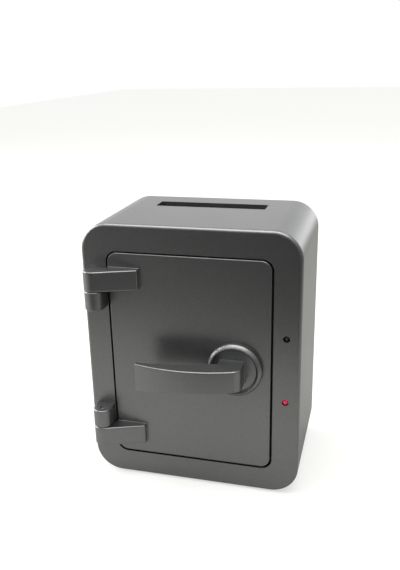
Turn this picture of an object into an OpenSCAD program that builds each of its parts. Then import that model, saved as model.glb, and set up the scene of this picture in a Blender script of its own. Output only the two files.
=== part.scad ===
// Smart safe: a small free-standing safe that a phone placed in its top slot unlocks.
// Units are millimetres, +Z is up and the door faces -Y.
// Pieces are drawn with the front face at y = 0 and the underside of the case at z = 0;
// place() then moves them so that the origin is under the middle of the whole object.

/* [Case] */
// width of the case
body_width = 132; // [130:1:150]
// height of the case without its feet
body_height = 166.5; // [164:0.5:190]
// depth of the case from the front face to the rear edge
body_depth = 84.2; // [84.2:0.1:105]
// corner radius of the outline seen from the front
body_corner = 17; // [15:0.5:19]
// rounding of the front edge
edge_round = 2; // [1:0.25:2.25]
// rounding of the rear edge
rear_round = 3.5; // [2:0.25:3.75]
// thickness of the moulded side walls
wall = 2.5; // [2.25:0.05:2.75]
// thickness of the front wall around the door
front_wall = 3; // [2.8:0.1:3.2]
// radius of each rubber foot
foot_radius = 5; // [4:0.5:6]
// how far the feet lift the case
foot_height = 1; // [0.8:0.1:1.5]

/* [Door] */
// width of the frame left of the opening, on the hinge side
stile_left = 15.5; // [15:0.1:16]
// width of the frame right of the opening, on the lock side
stile_right = 16; // [15.8:0.1:17]
// height of the frame above the opening
rail_top = 16.35; // [15.5:0.05:18]
// height of the frame below the opening
rail_bottom = 15.55; // [15:0.05:17]
// corner radius of the opening
opening_corner = 6.85; // [5:0.05:8]
// gap beside the door on the hinge side
gap_left = 0.8; // [0.7:0.05:1]
// gap beside the door on the lock side
gap_right = 1.3; // [1.2:0.05:1.5]
// gap above and below the door
gap_z = 0.9; // [0.7:0.05:1.2]
// thickness of the door's front skin
door_skin = 2.8; // [2.6:0.1:3]
// rounding of the door's front edge
door_round = 0.8; // [0.5:0.1:1]
// depth of the door including its inner tray
door_depth = 16.8; // [16.8:0.1:18]

/* [Hinges] */
// radius of the hinge barrels
barrel_radius = 5.8; // [5:0.1:5.9]
// distance of the hinge axis in front of the case
hinge_out = 6.2; // [6.2:0.1:7]
// height of each hinge knuckle
knuckle_height = 11.8; // [10:0.1:13]
// height of each hinge strap
strap_height = 12.4; // [11:0.1:14]
// thickness of the strap at its free end
strap_tip = 2.7; // [2.4:0.1:4]
// distance of each hinge strap from the end of the door
strap_inset = 8.7; // [8:0.1:14]
// length of each strap over the door
strap_run = 19.5; // [18.5:0.1:24]
// radius of the hinge pins
pin_radius = 1.5; // [1.2:0.1:1.8]
// radial running clearance on pins and spindle
run_clear = 0.05; // [0.03:0.01:0.08]

/* [Lever] */
// distance of the lever axis from the lock side of the door
lever_inset = 21.2; // [20.5:0.1:22]
// radius of the round plate behind the lever
plate_radius = 16.6; // [15.6:0.1:17.4]
// how far the plate's rim stands out from the door
plate_proud = 4.6; // [3.6:0.1:5]
// width of the plate's domed rim
plate_rim = 4; // [3:0.1:4.4]
// how far the lever stands out in front of the case
lever_reach = 23.6; // [22:0.1:28]
// radius of the bow of the blade seen from above
blade_bow = 93; // [85:1:105]
// thickness of the blade at its free end
blade_tip = 2.3; // [2:0.1:3]
// rounding of the blade's front edge
blade_round = 0.9; // [0.5:0.1:1.1]
// radius of the turning spindle
spindle_radius = 4; // [3.5:0.1:4.4]
// throw of the bolt
bolt_throw = 12.6; // [12:0.1:13]
// turn of the lever that throws the bolt fully
lever_turn = 60; // [55:1:65]

/* [Phone slot] */
// width of the slot in the top
slot_width = 71; // [66:0.5:80]
// size of the slot from front to back
slot_span = 13.2; // [11:0.1:13.4]
// distance of the slot behind the front face
slot_back = 51.8; // [51.8:0.1:60]
// depth of the pocket below the top
slot_depth = 37; // [33:0.5:40]

/* [Lamps] */
// distance of the two lamps from the lock side of the case
lamp_inset = 8.5; // [8.2:0.1:8.8]
// height of the upper lamp above the lever axis
lamp_up = 21.3; // [21.3:0.1:26]
// distance of the lower lamp below the lever axis
lamp_down = 19.3; // [19.3:0.1:21]
// radius of the lamps
lamp_radius = 1.9; // [1.5:0.1:2]

/* [Cells] */
// radius of one battery cell
cell_radius = 7.1; // [6.8:0.1:7.2]
// length of one battery cell with its nub
cell_length = 50.5; // [49.2:0.1:50.5]

/* [Node] */
// piece to draw, or all of them

/* [Hidden] */
$fn = 96;
half = body_width / 2;
front_y = (lever_reach - body_depth) / 2;
// what a rounding wider than the wall takes off the rear edge
rear_over = max(0, rear_round - wall);
rear_drop = rear_over > 0 ? rear_round - sqrt(pow(rear_round, 2) - pow(rear_over, 2)) : 0;
open_x0 = -half + stile_left;
open_x1 = half - stile_right;
open_z0 = rail_bottom;
open_z1 = body_height - rail_top;
lip = 2;
seat_d = front_wall + lip;
door_x0 = open_x0 + gap_left;
door_x1 = open_x1 - gap_right;
door_z0 = open_z0 + gap_z;
door_z1 = open_z1 - gap_z;
door_corner = opening_corner - gap_z;
door_edge = seat_d - 0.6;
door_rim = 1.8;
tray_wall = 1.6;
tray_x0 = door_x0 + 2.2;
tray_x1 = door_x1 - 4;
tray_z0 = door_z0 + 3;
tray_z1 = door_z1 - 3;
tray_in = door_depth - 1.8;
liner_wall = 1.5;
liner_x0 = open_x0 + 2;
liner_x1 = tray_x1 + 2.4;
liner_z0 = open_z0 + 2.65;
liner_z1 = open_z1 - 2.65;
bay_depth = 20.7;
liner_back = body_depth - bay_depth;
pocket_wall = 1.5;
pocket_z0 = body_height - slot_depth;
liner_step = slot_back - pocket_wall - 0.8;
step_z = pocket_z0 - pocket_wall - 0.5;
liner_joint = liner_step - 6;
cover_out = body_depth - 0.4;
cover_in = cover_out - 3;
boss_radius = 4.5;
boss_edge = body_corner - (body_corner - wall - 3.9) / sqrt(2);
flange_screw = 3.1;
flange_xs = [open_x0 + 8.5, open_x1 - 8];
flange_zs = [open_z0 - flange_screw, open_z1 + flange_screw];
foot_inset = 12;
mid_drop = 0.55;
mid_z = (door_z0 + door_z1) / 2 - mid_drop;
hinge_spread = (door_z1 - door_z0) / 2 - strap_inset - strap_height - 0.1;
axis_x = open_x0 - 6.1;
lever_x = door_x1 - lever_inset;
lever_z = mid_z - 0.4;
crank_r = bolt_throw / (2 * sin(lever_turn / 2));
pin_z = lever_z - crank_r * cos(lever_turn / 2);
crank_d0 = 5.5;
crank_d1 = 8.5;
bolt_d0 = 10.6;
bolt_d1 = 14.2;
bolt_z1 = pin_z + 5;
bolt_z0 = bolt_z1 - 12;
bolt_tip = tray_x1 + 0.3;
bolt_end = bolt_tip - 51.4;
crank_pin = 2;
bore_x = bolt_tip + 8.6;
bore_d = 12.6;
plunger_r = 1.75;
strike_z0 = bolt_z0 - 6.3;
strike_z1 = bolt_z1 + 6.3;
strike_d1 = bolt_d1 + 5.8;
keeper_d = 7.6;
keeper_room = 1.5;
keeper_face = bolt_d0 - 1.2;
keeper_zs = [bolt_z0 + 3.7, bolt_z1 - 1.9];
solenoid_zs = [3.2, 13];
pocket_screw_x = slot_width / 2 + 5;
pocket_mid = slot_back + slot_span / 2;
roof = body_height - wall;
plunger_travel = 4.5;
coil_z0 = bolt_z1 + 5.2;
lamp_x = half - lamp_inset;
lamp_hi = lever_z + lamp_up;
lamp_lo = lever_z - lamp_down;
cell_slot = 2 * cell_radius + 0.3;
cell_rib = 1;
cell_pitch = cell_slot + cell_rib;
contact_gap = 1.4;
tray_w = 3 * cell_pitch + cell_slot;
cells_z0 = wall + 4.3;
cells_z1 = cells_z0 + cell_length + 2 * contact_gap;
cell_d = cover_in - 0.7 - cell_radius;
cover_screw_z = cells_z1 + 4;
board_d = liner_back + 3;
board_t = 1.6;
board_face = board_d + board_t;
board_x0 = liner_x0 + 8.5;
board_x1 = liner_x1 - 7.1;
board_z0 = cells_z1 + 9;
board_z1 = step_z - 9.5;
board_mx = (board_x0 + board_x1) / 2;
board_mz = (board_z0 + board_z1) / 2;
board_hole = 4;
board_holes_x = [board_x0 + board_hole, board_x1 - board_hole];
board_holes_z = [board_z0 + board_hole, board_z1 - board_hole];
sensor_z = body_height - 10;
sensor_d = slot_back - pocket_wall - 4.9;
sensor_half = 18;
sensor_holes = [-sensor_half + 4, sensor_half - 4];
switch_x = -tray_w / 2 - 16;
switch_z = (cells_z0 + cells_z1) / 2;
paint = [0.36, 0.37, 0.38];
black = [0.08, 0.08, 0.09];
steel = [0.72, 0.72, 0.74];
green = [0.05, 0.32, 0.14];

module place() {
  translate([0, front_y, foot_height]) children();
}

// box given by its limits in x, depth and height
module bx(x0, x1, d0, d1, z0, z1) {
  translate([x0, d0, z0]) cube([x1 - x0, d1 - d0, z1 - z0]);
}

// flat shape in x and z, carried from depth d0 to d1
module deep(d0, d1) {
  translate([0, d1, 0]) rotate([90, 0, 0]) linear_extrude(d1 - d0) children();
}

module rod_y(x, z, r, d0, d1) {
  translate([x, d0, z]) rotate([-90, 0, 0]) cylinder(r = r, h = d1 - d0);
}

module rod_z(x, d, r, z0, z1) {
  translate([x, d, z0]) cylinder(r = r, h = z1 - z0);
}

module rod_x(d, z, r, x0, x1) {
  translate([x0, d, z]) rotate([0, 90, 0]) cylinder(r = r, h = x1 - x0);
}

// rounded rectangle by its limits
module rr(x0, x1, z0, z1, r) {
  translate([x0 + r, z0]) square([x1 - x0 - 2 * r, z1 - z0]);
  translate([x0, z0 + r]) square([x1 - x0, z1 - z0 - 2 * r]);
  for (x = [x0 + r, x1 - r], z = [z0 + r, z1 - r]) translate([x, z]) circle(r);
}

// section through the edge of a slab: rounded by f at the front, and by g at the back if g isn't 0
module edge_section(r, t, f, g) {
  square([r - f, t - g]);
  translate([0, f]) square([r - g, t - f]);
  translate([0, f]) square([r, t - f - g]);
  translate([r - f, f]) circle(f);
  if (g > 0) translate([r - g, t - g]) circle(g);
}

// slab with rounded outline corners r, rounded front edges f and rounded rear edges g
module slab(x0, x1, z0, z1, t, r, f, g) {
  bx(x0 + r, x1 - r, 0, t, z0 + r, z1 - r);
  translate([x1 - r, 0, z0 + r]) linear_extrude(z1 - z0 - 2 * r) edge_section(r, t, f, g);
  translate([x0 + r, 0, z0 + r]) mirror([1, 0, 0]) linear_extrude(z1 - z0 - 2 * r)
    edge_section(r, t, f, g);
  translate([x1 - r, 0, z1 - r]) rotate([0, -90, 0]) linear_extrude(x1 - x0 - 2 * r)
    edge_section(r, t, f, g);
  translate([x1 - r, 0, z0 + r]) mirror([0, 0, 1]) rotate([0, -90, 0]) linear_extrude(x1 - x0 - 2 * r)
    edge_section(r, t, f, g);
  translate([x1 - r, 0, z0 + r]) rotate([-90, 0, 0]) rotate_extrude(angle = 90) edge_section(r, t, f, g);
  translate([x0 + r, 0, z0 + r]) rotate([-90, 0, 0]) rotate([0, 0, 90]) rotate_extrude(angle = 90)
    edge_section(r, t, f, g);
  translate([x0 + r, 0, z1 - r]) rotate([-90, 0, 0]) rotate([0, 0, 180]) rotate_extrude(angle = 90)
    edge_section(r, t, f, g);
  translate([x1 - r, 0, z1 - r]) rotate([-90, 0, 0]) rotate([0, 0, 270]) rotate_extrude(angle = 90)
    edge_section(r, t, f, g);
}

// pan head screw along the depth: seat at depth d, head on the rear side, shank forwards
module screw_back(x, z, d, len, r, head_r, head_h) {
  difference() {
    union() {
      rod_y(x, z, r, d - len, d + 0.1);
      rod_y(x, z, head_r, d, d + head_h);
    }
    bx(x - head_r * 0.6, x + head_r * 0.6, d + head_h * 0.45, d + head_h + 1, z - r * 0.25, z + r * 0.25);
    bx(x - r * 0.25, x + r * 0.25, d + head_h * 0.45, d + head_h + 1, z - head_r * 0.6, z + head_r * 0.6);
  }
}

// the same screw with its head on the front side
module screw_front(x, z, d, len, r, head_r, head_h) {
  translate([0, 2 * d, 0]) mirror([0, 1, 0]) screw_back(x, z, d, len, r, head_r, head_h);
}

module foot_at(x, d) {
  rod_z(x, d, foot_radius, -foot_height, 0.8);
}

module open_shape(grow) {
  rr(open_x0 - grow, open_x1 + grow, open_z0 - grow, open_z1 + grow, opening_corner + grow);
}

// inner outline of the liner up to height top, grown by its wall
module liner_shape(top, grow) {
  rr(liner_x0 - grow, liner_x1 + grow, liner_z0 - grow, top + grow, 1.2 + grow);
}

module outer_shell() {
  color(paint) place() difference() {
    union() {
      difference() {
        slab(-half, half, 0, body_height, body_depth + rear_drop, body_corner, edge_round,
          rear_round);
        deep(front_wall, body_depth + 1)
          rr(-half + wall, half - wall, wall, roof, body_corner - wall);
      }
      deep(front_wall - 0.5, seat_d) open_shape(lip);
      for (x = [-1, 1], z = [boss_edge, body_height - boss_edge])
        rod_y(x * (half - boss_edge), z, boss_radius, cover_in - 18, cover_in);
      for (x = flange_xs, z = flange_zs) rod_y(x, z, 3, front_wall - 0.5, seat_d);
      for (x = [-1, 1]) rod_z(x * pocket_screw_x, pocket_mid, 3, roof - 2, roof + 0.5);
      for (z = keeper_zs) rod_y(bore_x + 0.3, z, 2.3, front_wall - 0.5, keeper_d);
      for (z = solenoid_zs) rod_y(half - wall - 2.2, coil_z0 + z, 2.6, front_wall - 0.5, 7.4);
      for (z = [lamp_hi + 4.8, lamp_lo - 4.8])
        rod_y(lamp_x, z, 1.5, front_wall - 0.5, 5.4);
      for (z = [lamp_hi + 4.8, lamp_lo - 4.8])
        rod_y(lamp_x, z, 0.8, 5.3, 7.2);
    }
    deep(-1, seat_d + 1) open_shape(0);
    translate([0, 0, roof - 1]) linear_extrude(wall + 2)
      rr(-slot_width / 2, slot_width / 2, slot_back, slot_back + slot_span, 1);
    for (z = [lamp_hi, lamp_lo]) rod_y(lamp_x, z, lamp_radius + 0.1, -1, front_wall + 1);
    for (x = [-1, 1], z = [boss_edge, body_height - boss_edge])
      rod_y(x * (half - boss_edge), z, 1.3, cover_in - 12, cover_in + 1);
    for (x = flange_xs, z = flange_zs) rod_y(x, z, 1, 1.2, seat_d + 1);
    for (x = [-1, 1]) rod_z(x * pocket_screw_x, pocket_mid, 1.1, roof - 3, body_height - 1);
    for (z = keeper_zs) rod_y(bore_x + 0.3, z, 1, 2, 9);
    for (z = solenoid_zs) rod_y(half - wall - 2.2, coil_z0 + z, 1, 2, 9);
    for (s = [-1, 1], k = [-1, 1])
      rod_y(axis_x, knuckle_z(s) + k * 3.2, 1.1, -1, front_wall + 1);
    for (x = [-1, 1], d = [foot_inset, body_depth - foot_inset])
      rod_z(x * (half - body_corner - 7), d, foot_radius + 0.1, -1, 0.8);
  }
}

// front part of the liner: four walls behind a flange, with a gap for the keeper's strike plate
module inner_liner() {
  color(black) place() difference() {
    union() {
      deep(seat_d, seat_d + 1.5)
        rr(open_x0 - 3, open_x1 + 1.8, open_z0 - 6, open_z1 + 6, opening_corner + 1);
      deep(seat_d, liner_joint) liner_shape(liner_z1, liner_wall);
    }
    deep(seat_d - 1, liner_joint + 1) liner_shape(liner_z1, 0);
    bx(liner_x1 - 1, liner_x1 + 3, seat_d + 1.5, strike_d1, strike_z0, strike_z1);
    for (x = flange_xs, z = flange_zs) rod_y(x, z, 1.1, seat_d - 1, seat_d + 3);
  }
}

// rear part: a deeper tub below the phone pocket, with a lip round the front part
module liner_tub() {
  color(black) place() difference() {
    union() {
      deep(liner_joint - 3, liner_step) difference() {
        liner_shape(liner_z1, liner_wall + 1.1);
        liner_shape(liner_z1, 0);
      }
      deep(liner_joint, liner_step) liner_shape(liner_z1, liner_wall);
      deep(liner_joint, liner_back) liner_shape(step_z - liner_wall, liner_wall);
      for (x = board_holes_x, z = board_holes_z) rod_y(x, z, 3, liner_back - 0.5, board_d);
    }
    deep(liner_joint - 4, liner_joint) liner_shape(liner_z1, liner_wall + 0.1);
    deep(liner_joint - 1, liner_step - liner_wall) liner_shape(liner_z1, 0);
    deep(liner_joint - 1, liner_back - liner_wall) liner_shape(step_z - liner_wall, 0);
    for (x = board_holes_x, z = board_holes_z) rod_y(x, z, 0.9, liner_back, board_d + 1);
  }
}

module liner_screws() {
  color(steel) place() for (x = flange_xs, z = flange_zs)
    screw_back(x, z, seat_d + 1.5, 5, 0.95, 2, 1.4);
}

module rear_cover() {
  color(paint) place() difference() {
    union() {
      deep(cover_in, cover_out)
        rr(-half + wall + 0.3, half - wall - 0.3, wall + 0.3, roof - 0.3, body_corner - wall - 0.3);
      rod_y(0, cover_screw_z, 2.6, cover_in - 5, cover_in + 1);
    }
    deep(cover_out - 1.8, cover_out + 1)
      rr(-tray_w / 2 - 1.3, tray_w / 2 + 1.3, cells_z0 - 0.9, cover_screw_z + 3.1, 3.3);
    deep(cover_in - 1, cover_out + 1) rr(-tray_w / 2, tray_w / 2, cells_z0 + 0.6, cells_z1 - 0.6, 1.5);
    rod_y(0, cover_screw_z, 1.1, cover_in - 4, cover_out);
    bx(switch_x - 2.1, switch_x + 5.7, cover_in - 1, cover_out + 1, switch_z - 1.6, switch_z + 1.6);
    for (x = [-1, 1], z = [boss_edge, body_height - boss_edge]) {
      rod_y(x * (half - boss_edge), z, 1.5, cover_in - 1, cover_out);
      rod_y(x * (half - boss_edge), z, 3, cover_out - 1.8, cover_out + 1);
    }
  }
}

module rear_cover_screws() {
  color(steel) place() for (x = [-1, 1], z = [boss_edge, body_height - boss_edge])
    screw_back(x * (half - boss_edge), z, cover_out - 1.8, 10, 1.25, 2.6, 1.6);
}

module phone_pocket() {
  color(black) place() difference() {
    union() {
      translate([0, 0, pocket_z0 - pocket_wall]) linear_extrude(slot_depth + pocket_wall - wall)
        rr(-slot_width / 2 - pocket_wall, slot_width / 2 + pocket_wall, slot_back - pocket_wall,
          slot_back + slot_span + pocket_wall, 2.5);
      for (x = [-1, 1]) {
        rod_z(x * pocket_screw_x, pocket_mid, 3, roof - 4, roof - 2);
        bx(x * pocket_screw_x - x * 2.5 - 2.5, x * pocket_screw_x - x * 2.5 + 2.5, pocket_mid - 3,
          pocket_mid + 3, roof - 4, roof - 2);
      }
      for (x = sensor_holes) rod_y(x, sensor_z, 2.5, sensor_d, slot_back - pocket_wall + 0.5);
    }
    translate([0, 0, pocket_z0]) linear_extrude(slot_depth + 1)
      rr(-slot_width / 2, slot_width / 2, slot_back, slot_back + slot_span, 1);
    rod_y(0, sensor_z, 3, slot_back - pocket_wall - 1, slot_back + 1);
    for (x = sensor_holes) rod_y(x, sensor_z, 0.8, sensor_d - 1, slot_back - pocket_wall - 0.5);
    for (x = [-1, 1]) rod_z(x * pocket_screw_x, pocket_mid, 1.3, roof - 5, roof);
  }
}

module pocket_screws() {
  color(steel) place() for (x = [-1, 1])
    translate([x * pocket_screw_x, pocket_mid, roof - 4]) {
      rotate([90, 0, 0]) screw_front(0, 0, 0, 5, 1.05, 2.2, 1.5);
    }
}

module sensor_window() {
  color([0.8, 0.85, 0.9]) place() rod_y(0, sensor_z, 3, slot_back - pocket_wall + 0.1, slot_back - 0.1);
}

module light_sensor() {
  color([0.75, 0.8, 0.9]) place() {
    rod_y(0, sensor_z, 2.5, sensor_d, sensor_d + 2.2);
    difference() {
      translate([0, sensor_d + 2.2, sensor_z]) sphere(2.5);
      bx(-4, 4, sensor_d - 4, sensor_d + 2.2, sensor_z - 4, sensor_z + 4);
    }
    for (x = [-1.27, 1.27])
      bx(x - 0.25, x + 0.25, sensor_d - 2, sensor_d + 0.1, sensor_z - 0.25, sensor_z + 0.25);
  }
}

module sensor_board() {
  color(green) place() difference() {
    bx(-sensor_half, sensor_half, sensor_d - 1.2, sensor_d, sensor_z - 6.1, sensor_z + 6.1);
    for (x = sensor_holes) rod_y(x, sensor_z, 1.1, sensor_d - 3, sensor_d + 1);
    for (x = [-1.27, 1.27])
      bx(x - 0.25, x + 0.25, sensor_d - 3, sensor_d + 1, sensor_z - 0.25, sensor_z + 0.25);
  }
}

module sensor_screws() {
  color(steel) place() for (x = sensor_holes) screw_front(x, sensor_z, sensor_d - 1.2, 4.4, 0.75, 1.8, 1.2);
}

module main_board() {
  color(green) place() difference() {
    bx(board_x0, board_x1, board_d, board_face, board_z0, board_z1);
    for (x = board_holes_x, z = board_holes_z) rod_y(x, z, 1.1, board_d - 1, board_d + 3);
  }
}

module board_screws() {
  color(steel) place() for (x = board_holes_x, z = board_holes_z)
    screw_back(x, z, board_face, 4.2, 0.85, 1.9, 1.3);
}

// chip by its middle and half its size, with legs above and below
module chip(x, z, h) {
  bx(x - h, x + h, board_face + 0.1, board_face + 1.8, z - h, z + h);
  for (k = [-3 : 3])
    bx(x + k * h / 4 - 0.25, x + k * h / 4 + 0.25, board_face, board_face + 0.7, z - h - 0.9, z + h + 0.9);
}

module board_chips() {
  color(black) place() {
    chip(board_mx - 12, board_mz, 5);
    chip(board_mx + 16, board_mz + 1.5, 3.5);
  }
}

module board_capacitors() {
  color([0.12, 0.14, 0.3]) place() {
    for (x = [14, 26]) rod_y(board_mx + x, board_z0 + 8, 4, board_face, board_face + 9);
    rod_y(board_mx - 22, board_z1 - 9, 3, board_face, board_face + 7);
  }
}

module board_connectors() {
  color([0.9, 0.88, 0.8]) place()
    for (c = [[-22, board_z0 + 6], [-8, board_z0 + 6], [6, board_z1 - 6], [20, board_z1 - 6]]) difference() {
      bx(board_mx + c[0] - 4.5, board_mx + c[0] + 4.5, board_face, board_face + 6, c[1] - 2.8, c[1] + 2.8);
      bx(board_mx + c[0] - 3.6, board_mx + c[0] + 3.6, board_face + 1.4, board_face + 7,
        c[1] - 1.9, c[1] + 1.9);
    }
}

function cell_x(k) = -tray_w / 2 + cell_slot / 2 + k * cell_pitch;

module battery_tray() {
  back = cell_d - cell_radius - 0.3;
  color(black) place() difference() {
    bx(-tray_w / 2 - 1.2, tray_w / 2 + 1.2, back - 1.2, cover_in, cells_z0 - 1.2, cells_z1 + 1.2);
    for (k = [0 : 3])
      bx(cell_x(k) - cell_slot / 2, cell_x(k) + cell_slot / 2, back, cover_in + 1, cells_z0, cells_z1);
    bx(-tray_w / 2, tray_w / 2, cell_d, cover_in + 1, cells_z0, cells_z1);
    // ribs stop short of the contacts
    bx(-tray_w / 2, tray_w / 2, cell_d - 5.3, cell_d + 1, cells_z0, cells_z0 + 2);
    bx(-tray_w / 2, tray_w / 2, cell_d - 5.3, cell_d + 1, cells_z1 - 2, cells_z1);
  }
}

// cell number k from the left, standing upright with its nub up (1) or down (-1)
module cell(k, up) {
  translate([cell_x(k), cell_d, (cells_z0 + cells_z1) / 2]) mirror([0, 0, up > 0 ? 0 : 1]) {
    rod_z(0, 0, cell_radius, -cell_length / 2, cell_length / 2 - 1.2);
    rod_z(0, 0, 2.7, cell_length / 2 - 1.3, cell_length / 2);
  }
}

module battery_1() {
  color([0.2, 0.22, 0.26]) place() cell(0, 1);
}

module battery_2() {
  color([0.2, 0.22, 0.26]) place() cell(1, -1);
}

module battery_3() {
  color([0.2, 0.22, 0.26]) place() cell(2, 1);
}

module battery_4() {
  color([0.2, 0.22, 0.26]) place() cell(3, -1);
}

// contact plate from cell a to cell b with a bump for each, at the floor or the top of the tray
module contact(a, b, top) {
  z = top ? cells_z1 - 0.5 : cells_z0;
  bx(cell_x(a) - 5, cell_x(b) + 5, cell_d - 5, cell_d + 5, z, z + 0.5);
  for (k = [a : b])
    rod_z(cell_x(k), cell_d, 3, top ? cells_z1 - contact_gap + 0.1 : cells_z0 + 0.4,
      top ? cells_z1 - 0.4 : cells_z0 + contact_gap - 0.1);
}

module battery_contacts() {
  color(steel) place() {
    contact(0, 1, false);
    contact(2, 3, false);
    contact(0, 0, true);
    contact(1, 2, true);
    contact(3, 3, true);
  }
}

module battery_cover() {
  color(paint) place() difference() {
    deep(cover_out - 1.8, cover_out - 0.1)
      rr(-tray_w / 2 - 1, tray_w / 2 + 1, cells_z0 - 0.6, cover_screw_z + 2.8, 3);
    rod_y(0, cover_screw_z, 1.3, cover_out - 3, cover_out);
    rod_y(0, cover_screw_z, 2.4, cover_out - 1, cover_out + 1);
    for (k = [-2 : 2])
      bx(-12, 12, cover_out - 0.7, cover_out + 1, cells_z0 + 10 + k * 2 - 0.4, cells_z0 + 10 + k * 2 + 0.4);
  }
}

module battery_cover_screw() {
  color(steel) place() screw_back(0, cover_screw_z, cover_out - 1, 5.4, 1.05, 2.2, 0.8);
}

module power_switch() {
  color(black) place() difference() {
    bx(switch_x - 5.2, switch_x + 8.8, cover_in - 6, cover_in, switch_z - 3.5, switch_z + 3.5);
    bx(switch_x - 3, switch_x + 6.6, cover_in - 3, cover_in + 1, switch_z - 2, switch_z + 2);
  }
}

module switch_knob() {
  color([0.85, 0.85, 0.85]) place() {
    bx(switch_x - 2.7, switch_x + 2.3, cover_in - 2.7, cover_in - 0.3, switch_z - 1.7, switch_z + 1.7);
    bx(switch_x - 1.7, switch_x + 1.3, cover_in - 0.4, cover_out - 0.2, switch_z - 1.2, switch_z + 1.2);
  }
}

module foot_front_left() {
  color([0.06, 0.06, 0.06]) place() foot_at(-half + body_corner + 7, foot_inset);
}

module foot_front_right() {
  color([0.06, 0.06, 0.06]) place() foot_at(half - body_corner - 7, foot_inset);
}

module foot_rear_left() {
  color([0.06, 0.06, 0.06]) place() foot_at(-half + body_corner + 7, body_depth - foot_inset);
}

module foot_rear_right() {
  color([0.06, 0.06, 0.06]) place() foot_at(half - body_corner - 7, body_depth - foot_inset);
}

// 3 mm lamp with its domed end at depth d, on two legs
module lamp(z, d) {
  rod_y(lamp_x, z, lamp_radius, d + lamp_radius, 5);
  difference() {
    translate([lamp_x, d + lamp_radius, z]) sphere(lamp_radius);
    bx(lamp_x - 3, lamp_x + 3, d + lamp_radius, d + 5, z - 3, z + 3);
  }
  rod_y(lamp_x, z, lamp_radius + 0.4, front_wall + 0.1, 4.2);
  for (x = [-0.9, 0.9]) bx(lamp_x + x - 0.25, lamp_x + x + 0.25, 4.9, 7.2, z - 0.25, z + 0.25);
}

module lamp_board(z, dir) {
  difference() {
    bx(lamp_x - 3.4, lamp_x + 3.4, 5.4, 6.6, z + 2.2 * dir - 4.4, z + 2.2 * dir + 4.4);
    rod_y(lamp_x, z + 4.8 * dir, 0.85, 5, 7);
    for (x = [-0.9, 0.9]) bx(lamp_x + x - 0.25, lamp_x + x + 0.25, 5, 7, z - 0.25, z + 0.25);
  }
}

module upper_lamp() {
  color([0.06, 0.09, 0.06]) place() lamp(lamp_hi, 0.6);
}

module lower_lamp() {
  color([0.9, 0.05, 0.12]) place() lamp(lamp_lo, 0);
}

module lamp_boards() {
  color(green) place() {
    lamp_board(lamp_hi, 1);
    lamp_board(lamp_lo, -1);
  }
}

// channel that takes the bolt, behind a strike plate that fills the gap in the liner
module bolt_keeper() {
  channel_x1 = bolt_tip + bolt_throw + 0.8;
  color(steel) place() difference() {
    union() {
      bx(liner_x1, liner_x1 + 1.2, seat_d + 1.7, strike_d1 - 0.2, strike_z0 + 0.2, strike_z1 - 0.2);
      bx(liner_x1 + 1.1, bore_x + 6.5, keeper_d, 16,
        bolt_z0 - keeper_room - 1.8, bolt_z1 + keeper_room + 1.8);
    }
    bx(liner_x1 - 1, channel_x1, keeper_face, bolt_d1 + 1.2, bolt_z0 - keeper_room, bolt_z1 + keeper_room);
    bx(liner_x1 + 1.2, channel_x1, keeper_face, 17, bolt_z0 - keeper_room, bolt_z1 + keeper_room);
    rod_z(bore_x, bore_d, plunger_r + 0.35, bolt_z1, bolt_z1 + 4);
    for (z = keeper_zs) {
      rod_y(bore_x + 0.3, z, 1.1, keeper_d - 1, keeper_d + 2);
      translate([bore_x + 0.3, keeper_d + 0.8, z]) rotate([-90, 0, 0]) cylinder(r1 = 1, r2 = 2.1, h = 1.1);
    }
  }
}

module keeper_screws() {
  color(steel) place() for (z = keeper_zs) {
    rod_y(bore_x + 0.3, z, 0.95, 2.6, keeper_d + 0.9);
    translate([bore_x + 0.3, keeper_d + 0.8, z]) rotate([-90, 0, 0]) cylinder(r1 = 0.95, r2 = 1.85, h = 0.9);
  }
}

module solenoid_frame() {
  x0 = bore_x - 4.8;
  color(steel) place() difference() {
    union() {
      bx(x0, half - wall - 0.2, 7.4, 8.6, coil_z0 - 1.2, coil_z0 + 17.4);
      bx(x0, x0 + 9.6, 8.5, 16.8, coil_z0 - 1.2, coil_z0);
      bx(x0, x0 + 9.6, 8.5, 16.8, coil_z0 + 16.2, coil_z0 + 17.4);
    }
    rod_z(bore_x, bore_d, plunger_r + 0.35, coil_z0 - 3, coil_z0 + 20);
    for (z = solenoid_zs) rod_y(half - wall - 2.2, coil_z0 + z, 1.1, 7, 9);
  }
}

module solenoid_coil() {
  color([0.1, 0.1, 0.1]) place() difference() {
    union() {
      rod_z(bore_x, bore_d, 3.9, coil_z0, coil_z0 + 1.2);
      rod_z(bore_x, bore_d, 3.6, coil_z0 + 1.1, coil_z0 + 15.1);
      rod_z(bore_x, bore_d, 3.9, coil_z0 + 15, coil_z0 + 16.2);
    }
    rod_z(bore_x, bore_d, plunger_r + run_clear + 0.03, coil_z0 - 1, coil_z0 + 17.2);
  }
}

module solenoid_screws() {
  color(steel) place() for (z = solenoid_zs)
    screw_back(half - wall - 2.2, coil_z0 + z, 8.6, 6, 0.95, 1.8, 1.2);
}

module solenoid_plunger() {
  color(steel) place() {
    rod_z(bore_x, bore_d, plunger_r, bolt_z1 + 0.9, coil_z0 + 17.5 + plunger_travel);
    rod_z(bore_x, bore_d, 3, coil_z0 + 17.4 + plunger_travel + 0.4, coil_z0 + 17.4 + plunger_travel + 1.6);
    rod_z(bore_x, bore_d, plunger_r, coil_z0 + 17.4, coil_z0 + 17.4 + plunger_travel + 1);
  }
}

// middle height of a hinge knuckle: side 1 is the upper hinge, -1 the lower one
function knuckle_z(side) = mid_z + side * (hinge_spread - 0.1 - knuckle_height / 2);
function strap_z(side) = mid_z + side * (hinge_spread + 0.1 + strap_height / 2);

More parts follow.
